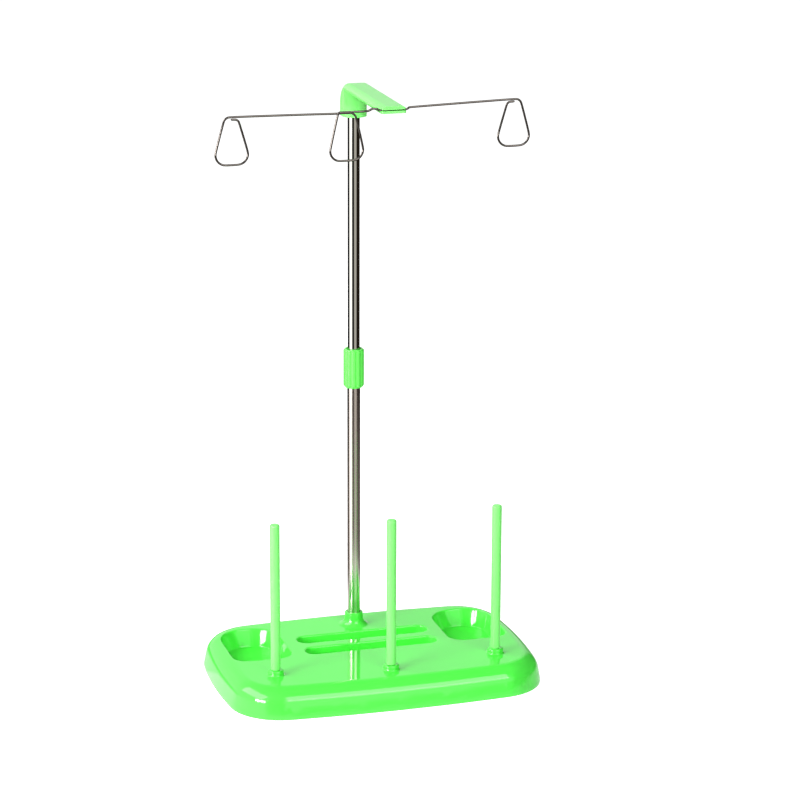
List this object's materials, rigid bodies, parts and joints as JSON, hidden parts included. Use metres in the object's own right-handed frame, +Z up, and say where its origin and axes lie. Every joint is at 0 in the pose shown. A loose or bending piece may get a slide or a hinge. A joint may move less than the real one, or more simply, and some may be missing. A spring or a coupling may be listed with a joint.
{
  "type": "thread rack",
  "caption": "Moulded tray with upright spool pins, note pockets and slots, and a telescopic mast whose arm holds a bent wire with thread eyelets.",
  "frame": {"origin": "middle of the tray's footprint, on the table, in the plane of the tray's rim", "axes": "+X along the tray's long side, to the right seen from the spool pins' side; -Y towards that front side; +Z up along the mast"},
  "size_m": [0.2364, 0.155, 0.4193],
  "materials": {
    "green_abs": "glossy injection-moulded ABS, bright lime green",
    "plated_tube": "bright nickel-chrome plated steel tube",
    "stainless_wire": "drawn stainless spring wire, bright",
    "natural_acetal": "natural white moulded acetal",
    "black_nylon": "black moulded nylon"
  },
  "bodies": {
    "tray": {"base_tray": "green_abs"},
    "pin_left": {"spool_pin_left": "green_abs"},
    "pin_middle": {"spool_pin_middle": "green_abs"},
    "pin_right": {"spool_pin_right": "green_abs"},
    "mast_lower": {"mast_lower_tube": "plated_tube", "lock_collet": "natural_acetal"},
    "collar": {"lock_collar": "green_abs"},
    "mast_upper": {"mast_upper_tube": "plated_tube", "tube_end_plug": "black_nylon"},
    "head": {"guide_head": "green_abs"},
    "wire": {"guide_wire": "stainless_wire"}
  },
  "joints": [
    {"name": "pin_left_pull", "type": "slide", "parent": "tray", "child": "pin_left", "axis": [0, 0, 1], "range_m": [0, 0.017]},
    {"name": "pin_middle_pull", "type": "slide", "parent": "tray", "child": "pin_middle", "axis": [0, 0, 1], "range_m": [0, 0.017]},
    {"name": "pin_right_pull", "type": "slide", "parent": "tray", "child": "pin_right", "axis": [0, 0, 1], "range_m": [0, 0.017]},
    {"name": "mast_pull", "type": "slide", "parent": "tray", "child": "mast_lower", "axis": [0, 0, 1], "range_m": [0, 0.0257]},
    {"name": "lock_turn", "type": "hinge", "parent": "mast_lower", "child": "collar", "pos_m": [0, 0.0455, 0.2125], "axis": [0, 0, 1], "range_deg": [0, 180]},
    {"name": "mast_slide", "type": "slide", "parent": "mast_lower", "child": "mast_upper", "axis": [0, 0, 1], "range_m": [-0.166, 0]},
    {"name": "head_swivel", "type": "hinge", "parent": "mast_upper", "child": "head", "pos_m": [0, 0.0455, 0.405], "axis": [0, 0, 1], "continuous": true},
    {"name": "wire_tilt", "type": "hinge", "parent": "head", "child": "wire", "pos_m": [0, -0.0518, 0.41525], "axis": [1, 0, 0], "range_deg": [-90, 90]}
  ]
}
